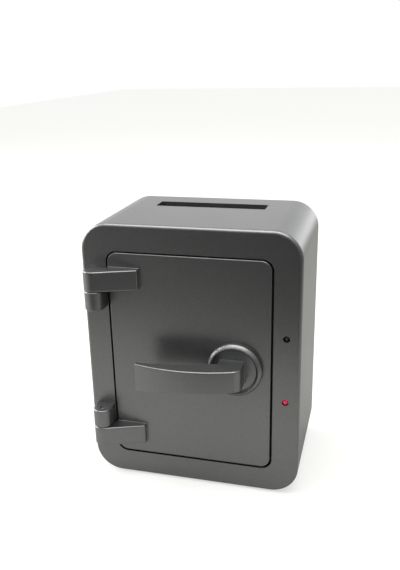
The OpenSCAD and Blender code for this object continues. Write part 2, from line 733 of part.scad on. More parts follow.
module knuckle(side) {
  z = knuckle_z(side);
  mouth = z - side * knuckle_height / 2;
  difference() {
    translate([0, 0, z - knuckle_height / 2]) linear_extrude(knuckle_height) {
      translate([axis_x, -hinge_out]) circle(barrel_radius);
      translate([axis_x - barrel_radius, -hinge_out]) square([2 * barrel_radius, hinge_out]);
    }
    rod_z(axis_x, -hinge_out, pin_radius, z - knuckle_height, z + knuckle_height);
    rod_z(axis_x, -hinge_out, pin_radius + 0.9, mouth - (side > 0 ? 1 : 0.6), mouth + (side > 0 ? 0.6 : 1));
    for (k = [-1, 1]) rod_y(axis_x, z + k * 3.2, 1, -3.4, 1);
  }
}

module upper_knuckle() {
  color(paint) place() knuckle(1);
}

module lower_knuckle() {
  color(paint) place() knuckle(-1);
}

module knuckle_screws() {
  color(steel) place() for (s = [-1, 1], k = [-1, 1])
    screw_back(axis_x, knuckle_z(s) + k * 3.2, front_wall, 6.2, 0.95, 2, 1.4);
}

module hinge_pin(side) {
  z = mid_z + side * hinge_spread;
  long = strap_height - 2.8;
  short = knuckle_height - 0.4;
  rod_z(axis_x, -hinge_out, pin_radius, side > 0 ? z - short : z - long, side > 0 ? z + long : z + short);
}

module upper_hinge_pin() {
  color(steel) place() hinge_pin(1);
}

module lower_hinge_pin() {
  color(steel) place() hinge_pin(-1);
}

strap_x0 = door_x0 - 0.2;
strap_x1 = door_x0 + strap_run;
strap_screw_xs = [strap_x1 - 12.3, strap_x1 - 5.3];
strap_vx = strap_x1 - axis_x;
strap_vd = hinge_out - strap_tip;
strap_a = atan2(strap_vd, strap_vx) - acos(barrel_radius / norm([strap_vx, strap_vd]));
strap_back = barrel_radius - hinge_out - 0.1;
touch_x = axis_x + 0.99 * barrel_radius * cos(strap_a);
touch_d = -hinge_out + 0.99 * barrel_radius * sin(strap_a);

module strap(side) {
  z = strap_z(side);
  bore_z0 = z - strap_height / 2 - (side > 0 ? 1 : -2.5);
  bore_z1 = z + strap_height / 2 + (side > 0 ? -2.5 : 1);
  difference() {
    union() {
      rod_z(axis_x, -hinge_out, barrel_radius, z - strap_height / 2, z + strap_height / 2);
      translate([0, 0, z - strap_height / 2]) linear_extrude(strap_height)
        polygon([[axis_x + 1.5, strap_back], [strap_x0, strap_back], [strap_x0, 0], [strap_x1, 0],
          [strap_x1, -strap_tip], [touch_x, touch_d]]);
    }
    rod_z(axis_x, -hinge_out, pin_radius + run_clear, bore_z0, bore_z1);
    for (x = strap_screw_xs) rod_y(x, z, 1, -3.2, 1);
  }
}

module upper_strap() {
  color(paint) place() strap(1);
}

module lower_strap() {
  color(paint) place() strap(-1);
}

module strap_screws() {
  color(steel) place() for (s = [-1, 1], x = strap_screw_xs)
    screw_back(x, strap_z(s), door_skin, 5.8, 0.95, 2, 1.4);
}

guide_left = [bolt_tip - 39.4, bolt_tip - 34.4];
guide_right = [tray_x1 - 6.5, tray_x1 - 2.1];
tray_bosses = [[tray_x0 + 5.5, tray_z0 + 5], [tray_x1 - 5.2, tray_z0 + 5], [tray_x0 + 5.5, tray_z1 - 5],
  [tray_x1 - 5.2, tray_z1 - 5]];

module door_panel() {
  color(paint) place() difference() {
    union() {
      difference() {
        slab(door_x0, door_x1, door_z0, door_z1, door_edge, door_corner, door_round, 0);
        deep(door_skin, door_edge + 1) rr(door_x0 + door_rim, door_x1 - door_rim, door_z0 + door_rim,
          door_z1 - door_rim, door_corner - door_rim);
      }
      rod_y(lever_x, lever_z, 7, door_skin - 0.5, crank_d0 - 0.4);
      for (p = tray_bosses) rod_y(p[0], p[1], 3, door_skin - 0.5, tray_in);
      for (g = [guide_left, guide_right], z = [bolt_z0 - 5, bolt_z1 + 5])
        rod_y((g[0] + g[1]) / 2, z, 2.4, door_skin - 0.5, door_skin + 2);
    }
    rod_y(lever_x, lever_z, spindle_radius + run_clear, -1, crank_d0 + 1);
    for (p = tray_bosses) rod_y(p[0], p[1], 1, tray_in - 9, tray_in + 1);
    for (g = [guide_left, guide_right], z = [bolt_z0 - 5, bolt_z1 + 5])
      rod_y((g[0] + g[1]) / 2, z, 0.9, 1.4, door_skin + 3);
    for (x = [lever_x - 9.5, lever_x + 9.5]) rod_y(x, lever_z, 1.2, -1, door_skin + 1);
    for (s = [-1, 1], x = strap_screw_xs) rod_y(x, strap_z(s), 1.1, -1, door_skin + 1);
  }
}

module door_tray() {
  color(black) place() difference() {
    deep(door_skin, door_depth) rr(tray_x0, tray_x1, tray_z0, tray_z1, 4);
    deep(door_skin - 1, tray_in)
      rr(tray_x0 + tray_wall, tray_x1 - tray_wall, tray_z0 + tray_wall, tray_z1 - tray_wall, 2.4);
    bx(tray_x1 - 3, tray_x1 + 1, bolt_d0 - 0.4, bolt_d1 + 0.4, bolt_z0 - 0.4, bolt_z1 + 0.4);
    deep(door_depth - 0.5, door_depth + 1) rr(tray_x0 + 12, tray_x1 - 12, tray_z0 + 12, tray_z1 - 12, 4);
    for (p = tray_bosses) rod_y(p[0], p[1], 1.2, tray_in - 1, door_depth + 1);
  }
}

module tray_screws() {
  color(steel) place() for (p = tray_bosses) screw_back(p[0], p[1], door_depth, 8, 0.95, 2.1, 1.4);
}

module guide(g) {
  difference() {
    union() {
      bx(g[0], g[1], door_skin, tray_in - 0.2, bolt_z0 - 2.4, bolt_z1 + 2.4);
      bx(g[0], g[1], door_skin + 2, door_skin + 4, bolt_z0 - 7.4, bolt_z1 + 7.4);
    }
    bx(g[0] - 1, g[1] + 1, bolt_d0 - 0.15, bolt_d1 + 0.15, bolt_z0 - 0.15, bolt_z1 + 0.15);
    for (z = [bolt_z0 - 5, bolt_z1 + 5]) rod_y((g[0] + g[1]) / 2, z, 1, door_skin, door_skin + 5);
  }
}

module guide_inner() {
  color([0.82, 0.82, 0.8]) place() guide(guide_left);
}

module guide_outer() {
  color([0.82, 0.82, 0.8]) place() guide(guide_right);
}

module guide_screws() {
  color(steel) place() for (g = [guide_left, guide_right], z = [bolt_z0 - 5, bolt_z1 + 5])
    screw_back((g[0] + g[1]) / 2, z, door_skin + 4, 5, 0.85, 1.8, 1.2);
}

// half section of the round plate: a shallow dish in a rim that is domed outwards
module plate_profile() {
  crest = plate_radius - plate_rim;
  square([crest, plate_floor]);
  translate([crest - rim_in, 0]) square([rim_in, plate_proud - rim_in]);
  intersection() {
    translate([crest, plate_proud - rim_bow]) circle(rim_bow);
    translate([crest, 0]) square([plate_rim, plate_proud]);
  }
  intersection() {
    translate([crest, plate_proud - rim_in]) circle(rim_in);
    translate([crest - rim_in, plate_proud - rim_in]) square(rim_in);
  }
}

module round_plate() {
  color(paint) place() translate([lever_x, 0, lever_z]) rotate([90, 0, 0]) difference() {
    union() {
      rotate_extrude() plate_profile();
      for (x = [-9.5, 9.5]) translate([x, 0, -door_skin - 0.6]) cylinder(r = 1.2, h = door_skin + 1);
    }
    translate([0, 0, -1]) cylinder(r = spindle_radius + 0.35, h = 4);
  }
}

// the blade is part of a ring whose centre lies far behind the door
bow_x = lever_x - 29.5;
bow_d = blade_bow - lever_reach;
neck_x0 = lever_x - 8.7;
neck_x1 = lever_x + 6.5;
neck_side = neck_x1 - 0.05;
plate_floor = 2.6;
rim_bow = 5.2;
rim_in = 1;
neck_back = -plate_floor - 0.4;
knob_r = 6;
blade_top = lever_z + 6.4;
knob_x = neck_x1 - knob_r;
knob_in = blade_bow - knob_r - 0.05;
knob_d = bow_d - sqrt(knob_in * knob_in - pow(knob_x - bow_x, 2));
knob_a = atan2(knob_d - bow_d, knob_x - bow_x);
tip_a = -90 - asin(26.4 / blade_bow);
back_r = 160;

module blade_section(rin, rout) {
  translate([rin, 0]) square([rout - rin - blade_round, 20]);
  translate([rin, 0]) square([rout - rin, 20 - blade_round]);
  translate([rout - blade_round, 20 - blade_round]) circle(blade_round);
}

// room behind the neck, leaving its top and outer edges rounded
module behind_neck() {
  near = neck_back - blade_round;
  bx(neck_x0 - 1, neck_x1 + 9, neck_back, 40, blade_top - 30, blade_top + 10);
  translate([neck_x0 - 1, 0, 0]) rotate([90, 0, 90]) linear_extrude(neck_x1 + 10 - neck_x0) difference() {
    translate([near, blade_top - blade_round]) square([blade_round + 1, blade_round + 1]);
    translate([near, blade_top - blade_round]) circle(blade_round);
  }
  translate([0, 0, blade_top - 30]) linear_extrude(40) difference() {
    translate([neck_side - blade_round, near]) square([blade_round + 1, blade_round + 1]);
    translate([neck_side - blade_round, near]) circle(blade_round);
  }
}

module lever_handle() {
  color(paint) place() difference() {
    union() {
      translate([bow_x, bow_d, blade_top - 20]) rotate([0, 0, tip_a])
        rotate_extrude(angle = knob_a - tip_a, $fn = 360) blade_section(blade_bow - 24, blade_bow);
      translate([knob_x, knob_d, blade_top - 20]) rotate_extrude() blade_section(0, knob_r);
      bx(knob_x - 4, neck_side - blade_round, knob_d - 0.5, -1, blade_top - 20, blade_top);
      bx(knob_x - 4, neck_side, knob_d - 0.5, -1, blade_top - 20, blade_top - blade_round);
      rod_y(neck_side - blade_round, blade_top - blade_round, blade_round, knob_d - 0.5, -1);
    }
    // room for the fingers behind the blade, left of the neck
    translate([0, 0, blade_top - 30]) linear_extrude(40) intersection() {
      back_disc();
      translate([neck_x0 - 80, -60]) square([80, 90]);
    }
    behind_neck();
    // underside, deeper towards the free end
    translate([lever_x + 2.5, -60, lever_z - 6.6 - 400]) rotate([-90, 0, 0])
      cylinder(r = 400, h = 80, $fn = 720);
    rod_y(lever_x, lever_z, spindle_radius + 0.03, -11.1, 1);
  }
}

tip_x = bow_x + (blade_bow - blade_tip) * cos(tip_a);
tip_d = bow_d + (blade_bow - blade_tip) * sin(tip_a);
root_d = -9.3;
chord = [neck_x0 - tip_x, root_d - tip_d];
chord_n = norm(chord);
back_x = (tip_x + neck_x0) / 2 - chord[1] / chord_n * sqrt(back_r * back_r - chord_n * chord_n / 4);
back_d = (tip_d + root_d) / 2 + chord[0] / chord_n * sqrt(back_r * back_r - chord_n * chord_n / 4);

module back_disc() {
  translate([back_x, back_d]) circle(back_r, $fn = 360);
}

module lever_spindle() {
  color(steel) place() rod_y(lever_x, lever_z, spindle_radius, -11, crank_d1);
}

module lever_crank() {
  px = lever_x - crank_r * sin(lever_turn / 2);
  color(steel) place() difference() {
    union() {
      deep(crank_d0, crank_d1) {
        translate([lever_x, lever_z]) circle(6.5);
        translate([px, pin_z]) circle(3.5);
        translate([lever_x, lever_z]) rotate(-lever_turn / 2) translate([-3.5, -crank_r])
          square([7, crank_r]);
      }
      rod_y(px, pin_z, crank_pin, crank_d1 - 0.5, bolt_d1 - 0.2);
    }
    rod_y(lever_x, lever_z, spindle_radius, crank_d0 - 1, crank_d1 + 1);
  }
}

module crank_screw() {
  color(steel) place() {
    difference() {
      rod_y(lever_x, lever_z, 5.2, crank_d1, crank_d1 + 0.6);
      rod_y(lever_x, lever_z, 2, crank_d1 - 1, crank_d1 + 0.5);
    }
    screw_back(lever_x, lever_z, crank_d1 + 0.6, 0.4, 1.4, 2.6, 1.5);
  }
}

module lock_bolt() {
  px = lever_x - crank_r * sin(lever_turn / 2);
  color(steel) place() difference() {
    bx(bolt_end, bolt_tip, bolt_d0, bolt_d1, bolt_z0, bolt_z1);
    bx(px - crank_pin - 0.25, px + crank_pin + 0.25, bolt_d0 - 1, bolt_d1 + 1,
      lever_z - crank_r - crank_pin - 0.4, pin_z + crank_pin + 0.4);
    translate([bore_x - bolt_throw, 0, 0])
      bx(-plunger_r - 0.35, plunger_r + 0.35, bolt_d0 - 1, bolt_d1 + 1, bolt_z1 - 4.7, bolt_z1 + 1);
  }
}

outer_shell();
inner_liner();
liner_tub();
liner_screws();
rear_cover();
rear_cover_screws();
phone_pocket();
pocket_screws();
sensor_window();
light_sensor();
sensor_board();
sensor_screws();
main_board();
board_screws();
board_chips();
board_capacitors();
board_connectors();
battery_tray();
battery_1();
battery_2();
battery_3();
battery_4();
battery_contacts();
battery_cover();
battery_cover_screw();
power_switch();
switch_knob();
foot_front_left();
foot_front_right();
foot_rear_left();
foot_rear_right();
upper_lamp();
lower_lamp();
lamp_boards();
bolt_keeper();
keeper_screws();
solenoid_frame();
solenoid_coil();
solenoid_screws();
solenoid_plunger();
upper_knuckle();
lower_knuckle();
knuckle_screws();
upper_hinge_pin();
lower_hinge_pin();
upper_strap();
lower_strap();
strap_screws();
door_panel();
door_tray();
tray_screws();
guide_inner();
guide_outer();
guide_screws();
round_plate();
lever_handle();
lever_spindle();
lever_crank();
crank_screw();
lock_bolt();
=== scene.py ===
"""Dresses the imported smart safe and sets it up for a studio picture."""
import math

import bpy
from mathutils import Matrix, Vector


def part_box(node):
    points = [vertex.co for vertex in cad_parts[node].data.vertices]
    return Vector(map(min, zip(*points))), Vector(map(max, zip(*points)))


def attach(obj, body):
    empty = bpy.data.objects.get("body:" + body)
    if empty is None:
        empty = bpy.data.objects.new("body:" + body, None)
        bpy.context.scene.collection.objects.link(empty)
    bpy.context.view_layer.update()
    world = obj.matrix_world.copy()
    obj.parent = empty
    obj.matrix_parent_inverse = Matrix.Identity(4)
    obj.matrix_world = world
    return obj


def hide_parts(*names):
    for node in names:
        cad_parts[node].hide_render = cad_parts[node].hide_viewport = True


bl_info = {
    "name": "Smart Safe",
    "version": (1, 0, 0),
    "blender": (4, 5, 0),
    "location": "View3D > Sidebar > Safe",
    "description": "Models and paints a small phone-operated safe round its packed frame",
    "category": "Add Mesh",
}

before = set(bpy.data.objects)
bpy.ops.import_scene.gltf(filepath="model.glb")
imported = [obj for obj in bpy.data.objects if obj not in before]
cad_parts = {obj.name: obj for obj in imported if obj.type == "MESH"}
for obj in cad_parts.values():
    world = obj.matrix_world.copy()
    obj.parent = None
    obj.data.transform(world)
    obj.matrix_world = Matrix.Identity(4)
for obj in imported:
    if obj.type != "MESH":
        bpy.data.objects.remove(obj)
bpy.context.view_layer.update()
MM = 0.001

# two places nearer than this count as the same
TOUCH = 1e-6
# faces larger than this, in square metres, are the flat ends of a round piece
WIDE_FACE = 1e-5

# sides of small round pieces
SMALL_STEPS = 48
PIN_STEPS = 32

# hinge straps: thickness of the free end, where the arm starts beyond the barrel's axis, how far its
# rear stays inside the barrel, and the share of the barrel's radius at which its front meets the barrel
STRAP_TIP = 2.7 * MM
ARM_START = 1.5 * MM
ARM_INSET = 0.1 * MM
ARM_TOUCH = 0.99
# how far a strap's relief and its foot stay from the door's edge, on either side of it
EDGE_GAP = 0.2 * MM
# knuckles: how far the web stays inside the barrel's sides, and the counterbore round the pin's end
WEB_INSET = 0.01 * MM
BORE_RADIUS = 1.65 * MM
BORE_LENGTH = 1.2 * MM
# share of a hinge pin's width that its domed ends take
PIN_DOME = 0.4
# round plate: the outer rim's curve, the width of the sloping lip as a share of the dish's depth,
# and the rounding of the crest between them
RIM_PROFILE = 0.36
RIM_SEGMENTS = 12
LIP_SHARE = 0.8
CREST_ROUND = 0.3 * MM
# depth at the back of the lever over which its root is measured for the collar
ROOT_DEPTH = 3 * MM
# lamps: length of the lens to its flange, the flange's thickness and its growth
LENS_LENGTH = 3.2 * MM
FLANGE_THICK = 1.0 * MM
FLANGE_GROWTH = 1.26
# feet: rounding of the lower edge, and the moulded ring with its place and width as shares of the radius
FOOT_ROUND = 0.3 * MM
FOOT_RING_DEPTH = 0.2 * MM
FOOT_RING_INSET = 0.45
FOOT_RING_WIDTH = 0.08

# colours of the pieces that have only one finish
RUBBER = (0.022, 0.022, 0.022)
PALE_PLASTIC = (0.72, 0.71, 0.67)
CLEAR_SHADES = ((0.8, 0.83, 0.85), (0.9, 0.92, 0.93))
LACQUER_SHADES = ((0.012, 0.11, 0.045), (0.02, 0.17, 0.065))
TRACK = (0.05, 0.3, 0.12)
DARK_LENS = (0.012, 0.016, 0.011)
TINNED = (0.6, 0.6, 0.6)
CAPACITOR_SHADES = ((0.03, 0.035, 0.12), (0.04, 0.045, 0.14))
CELL_SHADES = ((0.03, 0.035, 0.045), (0.45, 0.32, 0.12))
# shares of a sleeve's height where its second shade and its bare end start
BAND_START = 0.72
BARE_START = 0.965
# share of a lens's colour that is left at its rim
LENS_RIM = 0.55

# the sheet under the safe: its near edge, how far that edge runs askew, its far edge and its width
SHEET_FRONT = -0.24
SHEET_SLANT = 0.3
SHEET_BACK = 5.0
SHEET_WIDTH = 4.0
SHEET_COLOUR = (0.37, 0.37, 0.347, 1)
# light that the sheet adds to the camera's view, and light that it shows in mirroring surfaces
SHEET_GLOW = 0.6
SHEET_GLOSS = 0.115
# brightness of the room above, behind and beside the safe
ROOM_ABOVE = 1.3
ROOM_BEHIND = 1.5
ROOM_BESIDE = 0.3
# how the light above grows with height, and how much the light behind fades with it
ROOM_CURVE = 0.95
ROOM_FADE = 0.8
# each soft lamp's name, place, aim, width and height, and power
SOFT_LAMPS = (
    ("overhead_lamp", (0.0, -0.2, 1.1), (0, 0, 0.1), (1.2, 0.8), 10.5),
    ("left_lamp", (-1.15, 0.1, 0.6), (0, 0, 0.12), (0.9, 0.9), 19.0),
    ("rear_lamp", (0.5, 1.5, 0.18), (0, 0, 0.12), (1.0, 0.3), 1.5),
)
# the camera that the lines of the case and the door gave
CAMERA_PLACE = (0.104018, -0.381115, 0.259091)
CAMERA_AIM = (0.00706, -0.0303, 0.133746)
CAMERA_ROLL = math.radians(-1.28)
CAMERA_LENS = 42.31
CAMERA_SENSOR = 36


def limits(node):
    """Lowest and highest corner of a CAD node, and the middle between them."""
    low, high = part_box(node)
    return low, high, (low + high) / 2


# settings


class SafeShape(bpy.types.PropertyGroup):
    """Sizes of the pieces that are modelled here."""

    rim_round: bpy.props.FloatProperty(
        name="Rim rounding", description="Outer rounding of the round plate",
        default=0.0022, min=0.001, max=0.004, subtype="DISTANCE", unit="LENGTH")
    rim_drop: bpy.props.FloatProperty(
        name="Rim drop", description="How deep the round plate is dished inside its rim",
        default=0.00165, min=0.0005, max=0.003, subtype="DISTANCE", unit="LENGTH")
    edge: bpy.props.FloatProperty(
        name="Edge rounding", description="Rounding of the edges of the hinges",
        default=0.0008, min=0.0001, max=0.0012, subtype="DISTANCE", unit="LENGTH")
    foot_step: bpy.props.FloatProperty(
        name="Foot step", description="How far the foot of a strap or of the lever stands out",
        default=0.0005, min=0.0002, max=0.001, subtype="DISTANCE", unit="LENGTH")
    lamp_radius: bpy.props.FloatProperty(
        name="Lamp radius", description="Radius of the domed lamps",
        default=0.0019, min=0.001, max=0.0022, subtype="DISTANCE", unit="LENGTH")
    round_steps: bpy.props.IntProperty(
        name="Steps round", description="Number of sides of round pieces",
        default=96, min=24, max=192)


class SafeFinish(bpy.types.PropertyGroup):
    """Colours and finishes."""

    paint: bpy.props.FloatVectorProperty(
        name="Paint", description="Colour of the satin metallic paint",
        default=(0.2, 0.202, 0.202), size=3, min=0, max=1, subtype="COLOR")
    paint_roughness: bpy.props.FloatProperty(
        name="Paint roughness", description="Roughness of the satin paint",
        default=0.36, min=0.1, max=0.9, subtype="FACTOR")
    plastic: bpy.props.FloatVectorProperty(
        name="Black plastic", description="Colour of the moulded inner pieces",
        default=(0.028, 0.028, 0.03), size=3, min=0, max=1, subtype="COLOR")
    steel: bpy.props.FloatVectorProperty(
        name="Steel", description="Colour of plated steel pieces",
        default=(0.62, 0.62, 0.64), size=3, min=0, max=1, subtype="COLOR")
    lamp: bpy.props.FloatVectorProperty(
        name="Lit lamp", description="Colour of the lower lamp",
        default=(0.9, 0.02, 0.1), size=3, min=0, max=1, subtype="COLOR")
    lamp_glow: bpy.props.FloatProperty(
        name="Lamp glow", description="Strength of the lower lamp's own light",
        default=0.25, min=0, max=5)


# tools for shader nodes


def add_node(tree, kind, values=(), **settings):
    """A new node with its input values and its own settings."""
    made = tree.nodes.new(kind)
    for key, value in settings.items():
        setattr(made, key, value)
    for socket, value in dict(values).items():
        made.inputs[socket].default_value = value
    made.location = (200 * (len(tree.nodes) % 9), -180 * (len(tree.nodes) // 9))
    return made


def maths(tree, operation, *items):
    """Output of a Math node that takes numbers and sockets."""
    made = add_node(tree, "ShaderNodeMath", operation=operation)
    for index, item in enumerate(items):
        if isinstance(item, bpy.types.NodeSocket):
            tree.links.new(item, made.inputs[index])
        else:
            made.inputs[index].default_value = item
    return made.outputs[0]


def weighed(tree, one, share, other, other_share):
    """Sum of two masks, each times its share."""
    return maths(tree, "MULTIPLY_ADD", one, share, maths(tree, "MULTIPLY", other, other_share))


def centred(tree, one, share, other, other_share):
    """Sum of two masks, each times its share, lowered so that its middle is 0."""
    both = weighed(tree, one, share, other, other_share)
    return maths(tree, "SUBTRACT", both, (share + other_share) / 2)


def blend_colours(tree, factor, one, two):
    """Colour between two colours or colour sockets, by a mask."""
    made = add_node(tree, "ShaderNodeMix", data_type="RGBA")
    tree.links.new(factor, made.inputs["Factor"])
    for socket, item in ((made.inputs[6], one), (made.inputs[7], two)):
        if isinstance(item, bpy.types.NodeSocket):
            tree.links.new(item, socket)
        else:
            socket.default_value = (*item, 1)
    return made.outputs[2]


def object_place(tree):
    """Place on the object, the only coordinates that the finishes read."""
    return add_node(tree, "ShaderNodeTexCoord").outputs["Object"]


def noise(tree, place, scale, detail=2.0, roughness=0.5):
    """Mask of soft noise; scale is a number or a socket."""
    made = add_node(tree, "ShaderNodeTexNoise", {"Detail": detail, "Roughness": roughness})
    tree.links.new(place, made.inputs["Vector"])
    if isinstance(scale, bpy.types.NodeSocket):
        tree.links.new(scale, made.inputs["Scale"])
    else:
        made.inputs["Scale"].default_value = scale
    return made.outputs["Fac"]


def set_roughness(tree, shader, mask, least, spread):
    """Roughness from least upwards, by a mask."""
    tree.links.new(maths(tree, "MULTIPLY_ADD", mask, spread, least), shader.inputs["Roughness"])


def add_relief(tree, shader, height, depth):
    """Raises the surface by depth where the height is 1."""
    bump = add_node(tree, "ShaderNodeBump", {"Strength": 1.0, "Distance": depth})
    tree.links.new(height, bump.inputs["Height"])
    tree.links.new(bump.outputs[0], shader.inputs["Normal"])


def new_group(name, inputs):
    """An empty shader node group that takes those values and puts out colour, roughness and height."""
    if name in bpy.data.node_groups:
        bpy.data.node_groups.remove(bpy.data.node_groups[name])
    tree = bpy.data.node_groups.new(name, "ShaderNodeTree")
    for label, value in inputs:
        if isinstance(value, tuple):
            made = tree.interface.new_socket(name=label, in_out="INPUT", socket_type="NodeSocketColor")
            made.default_value = (*value, 1)
        else:
            made = tree.interface.new_socket(name=label, in_out="INPUT", socket_type="NodeSocketFloat")
            made.default_value = value
    tree.interface.new_socket(name="Colour", in_out="OUTPUT", socket_type="NodeSocketColor")
    for label in ("Roughness", "Height"):
        tree.interface.new_socket(name=label, in_out="OUTPUT", socket_type="NodeSocketFloat")
    entry = tree.nodes.new("NodeGroupInput")
    leave = tree.nodes.new("NodeGroupOutput")
    return tree, entry, leave


def vary_colour(tree, entry, leave, signed):
    """Puts out the group's colour, lighter and darker by the signed mask times the contrast."""
    gain = maths(tree, "MULTIPLY_ADD", signed, entry.outputs["Contrast"], 1.0)
    shaded = add_node(tree, "ShaderNodeVectorMath", operation="SCALE")
    tree.links.new(entry.outputs["Colour"], shaded.inputs[0])
    tree.links.new(gain, shaded.inputs["Scale"])
    tree.links.new(shaded.outputs[0], leave.inputs["Colour"])


# node groups


def make_flake_group():
    """Satin metallic paint: flakes of light and dark, a soft drift in sheen and a fine skin."""
    tree, entry, leave = new_group(
        "paint_flakes",
        [("Colour", (0.3, 0.3, 0.3)), ("Flake size", 2400.0), ("Contrast", 0.12),
         ("Sheen", 0.4), ("Drift", 0.04)])
    place = object_place(tree)
    flake = add_node(tree, "ShaderNodeTexVoronoi", feature="F1")
    tree.links.new(place, flake.inputs["Vector"])
    tree.links.new(entry.outputs["Flake size"], flake.inputs["Scale"])
    split = add_node(tree, "ShaderNodeSeparateColor")
    tree.links.new(flake.outputs["Color"], split.inputs["Color"])
    speck = split.outputs[0]
    clouds = noise(tree, place, scale=620, detail=3.0, roughness=0.6)
    skin = noise(tree, place, scale=1500)
    signed = centred(tree, speck, 0.55, clouds, 0.9)
    vary_colour(tree, entry, leave, signed)
    drift = maths(tree, "SUBTRACT", noise(tree, place, scale=26), 0.5)
    rough = maths(tree, "MULTIPLY_ADD", drift, entry.outputs["Drift"], entry.outputs["Sheen"])
    tree.links.new(maths(tree, "MULTIPLY_ADD", signed, 0.06, rough), leave.inputs["Roughness"])
    tree.links.new(weighed(tree, skin, 0.6, speck, 0.4), leave.inputs["Height"])


def make_mould_group():
    """Moulded plastic: a fine eroded texture with slightly shiny high spots."""
    tree, entry, leave = new_group(
        "moulded_skin",
        [("Colour", (0.03, 0.03, 0.03)), ("Grain size", 1800.0), ("Contrast", 0.25), ("Sheen", 0.55)])
    place = object_place(tree)
    grain = noise(tree, place, entry.outputs["Grain size"], detail=3.0, roughness=0.6)
    broad = noise(tree, place, scale=45)
    signed = centred(tree, grain, 0.7, broad, 0.3)
    vary_colour(tree, entry, leave, signed)
    rough = maths(tree, "MULTIPLY_ADD", signed, -0.25, entry.outputs["Sheen"])
    tree.links.new(rough, leave.inputs["Roughness"])
    tree.links.new(grain, leave.inputs["Height"])


def make_brushed_group():
    """Plated or turned metal: fine lines along one axis over a cloudy plate."""
    tree, entry, leave = new_group(
        "drawn_lines",
        [("Colour", (0.6, 0.6, 0.6)), ("Along X", 0.06), ("Along Z", 1.0), ("Contrast", 0.2),
         ("Sheen", 0.3)])
    place = object_place(tree)
    stretch = add_node(tree, "ShaderNodeCombineXYZ", {"Y": 1.0})
    tree.links.new(entry.outputs["Along X"], stretch.inputs["X"])
    tree.links.new(entry.outputs["Along Z"], stretch.inputs["Z"])
    pulled = add_node(tree, "ShaderNodeVectorMath", operation="MULTIPLY")
    tree.links.new(place, pulled.inputs[0])
    tree.links.new(stretch.outputs[0], pulled.inputs[1])
    lines = noise(tree, pulled.outputs[0], scale=5200, roughness=0.7)
    clouds = noise(tree, place, scale=160, detail=3.0)
    signed = centred(tree, lines, 0.6, clouds, 0.4)
    vary_colour(tree, entry, leave, signed)
    rough = maths(tree, "MULTIPLY_ADD", signed, 0.5, entry.outputs["Sheen"])
    tree.links.new(rough, leave.inputs["Roughness"])
    tree.links.new(lines, leave.inputs["Height"])


# finishes


def start_material(name):
    """An empty material with one shader that reaches its output."""
    if name in bpy.data.materials:
        bpy.data.materials.remove(bpy.data.materials[name])
    material = bpy.data.materials.new(name)
    material.use_nodes = True
    tree = material.node_tree
    tree.nodes.clear()
    shader = tree.nodes.new("ShaderNodeBsdfPrincipled")
    end = tree.nodes.new("ShaderNodeOutputMaterial")
    end.location = (400, 0)
    tree.links.new(shader.outputs[0], end.inputs["Surface"])
    return material, tree, shader


def surface_from(name, group, values, relief, metallic=0.0):
    """A material whose colour, roughness and relief come from one group."""
    _, tree, shader = start_material(name)
    used = tree.nodes.new("ShaderNodeGroup")
    used.node_tree = bpy.data.node_groups[group]
    used.location = (-500, 0)
    for label, value in values.items():
        used.inputs[label].default_value = (*value, 1) if isinstance(value, tuple) else value
    tree.links.new(used.outputs["Colour"], shader.inputs["Base Color"])
    tree.links.new(used.outputs["Roughness"], shader.inputs["Roughness"])
    add_relief(tree, shader, used.outputs["Height"], relief)
    shader.inputs["Metallic"].default_value = metallic


def paint_surface(finish):
    surface_from(
        "satin_paint", "paint_flakes",
        {"Colour": tuple(finish.paint), "Flake size": 2400.0, "Contrast": 0.22,
         "Sheen": finish.paint_roughness, "Drift": 0.05},
        0.01 * MM, metallic=0.92)


def black_surface(finish, name, grain, sheen, relief):
    surface_from(
        name, "moulded_skin",
        {"Colour": tuple(finish.plastic), "Grain size": grain, "Contrast": 0.5, "Sheen": sheen}, relief)


def steel_surface(finish, name, along_x, along_z, sheen):
    surface_from(
        name, "drawn_lines",
        {"Colour": tuple(finish.steel), "Along X": along_x, "Along Z": along_z,
         "Contrast": 0.3, "Sheen": sheen},
        0.004 * MM, metallic=1.0)


def rubber_surface():
    surface_from(
        "foot_rubber", "moulded_skin",
        {"Colour": RUBBER, "Grain size": 2600.0, "Contrast": 0.6, "Sheen": 0.8}, 0.04 * MM)


def pale_surface():
    surface_from(
        "pale_plastic", "moulded_skin",
        {"Colour": PALE_PLASTIC, "Grain size": 1400.0, "Contrast": 0.08, "Sheen": 0.38}, 0.008 * MM)


def clear_surface():
    """Clear plastic with faint clouds in its tint and polish."""
    _, tree, shader = start_material("clear_plastic")
    cloud = noise(tree, object_place(tree), scale=240)
    tree.links.new(blend_colours(tree, cloud, *CLEAR_SHADES), shader.inputs["Base Color"])
    set_roughness(tree, shader, cloud, least=0.05, spread=0.08)
    shader.inputs["Transmission Weight"].default_value = 0.85
    shader.inputs["IOR"].default_value = 1.49


def board_surface():
    """Green lacquer over a pattern of raised tracks."""
    _, tree, shader = start_material("circuit_board")
    place = object_place(tree)
    tracks = add_node(tree, "ShaderNodeTexBrick", {
        "Scale": 150.0, "Mortar Size": 0.06, "Bias": 0.2, "Brick Width": 0.8, "Row Height": 0.22})
    turn = add_node(tree, "ShaderNodeMapping", {"Rotation": (math.radians(90), 0, 0)})
    tree.links.new(place, turn.inputs["Vector"])
    tree.links.new(turn.outputs[0], tracks.inputs["Vector"])
    cloud = noise(tree, place, scale=90)
    lacquer = blend_colours(tree, cloud, *LACQUER_SHADES)
    tree.links.new(blend_colours(tree, tracks.outputs["Fac"], lacquer, TRACK), shader.inputs["Base Color"])
    set_roughness(tree, shader, cloud, least=0.25, spread=0.15)
    add_relief(tree, shader, tracks.outputs["Fac"], 0.03 * MM)


